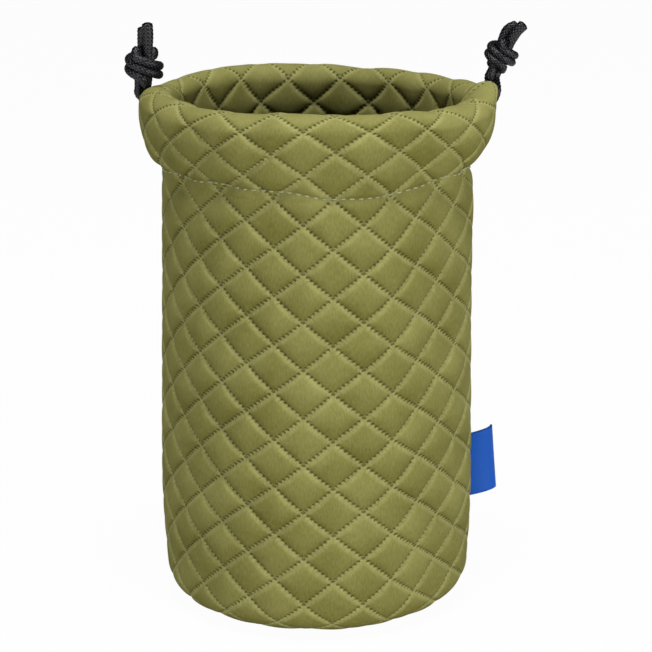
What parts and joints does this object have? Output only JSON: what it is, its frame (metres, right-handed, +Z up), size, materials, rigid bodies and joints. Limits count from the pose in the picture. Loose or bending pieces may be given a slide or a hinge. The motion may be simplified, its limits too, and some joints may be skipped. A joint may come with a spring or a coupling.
{
  "type": "lens pouch",
  "caption": "Padded, diamond-quilted cylindrical drawstring pouch that stands on its round base, with a rolled cord casing, knotted drawcords and a folded side label.",
  "frame": {"origin": "centre of the round underside, on the surface that the pouch stands on", "axes": "+Z up along the pouch, the front faces -Y, and the side label is at +X"},
  "size_m": [0.1337, 0.1076, 0.2016],
  "materials": {
    "knit": "matte",
    "foam": "matte",
    "lining": "matte",
    "tape": "matte",
    "cord": "satin",
    "label": "satin"
  },
  "bodies": {
    "pouch": {"front_cover": "knit", "back_cover": "knit", "front_padding": "foam", "back_padding": "foam", "front_lining": "lining", "back_lining": "lining", "base_cover": "knit", "base_padding": "foam", "base_lining": "lining", "left_seam_tape": "tape", "right_seam_tape": "tape", "left_drawcord": "cord", "left_lead_front": "cord", "left_lead_back": "cord", "right_drawcord": "cord", "right_lead_front": "cord", "right_lead_back": "cord", "side_label": "label"},
    "left_pull": {"left_knot": "cord", "left_tail_front": "cord", "left_tail_back": "cord"},
    "right_pull": {"right_knot": "cord", "right_tail_front": "cord", "right_tail_back": "cord"}
  },
  "joints": [
    {"name": "left_pull", "type": "slide", "parent": "pouch", "child": "left_pull", "axis": [-0.7071, 0, 0.7071], "range_m": [0, 0.12], "deforming": ["left_lead_front", "left_lead_back"]},
    {"name": "right_pull", "type": "slide", "parent": "pouch", "child": "right_pull", "axis": [0.7071, 0, 0.7071], "range_m": [0, 0.12], "deforming": ["right_lead_front", "right_lead_back"]}
  ]
}
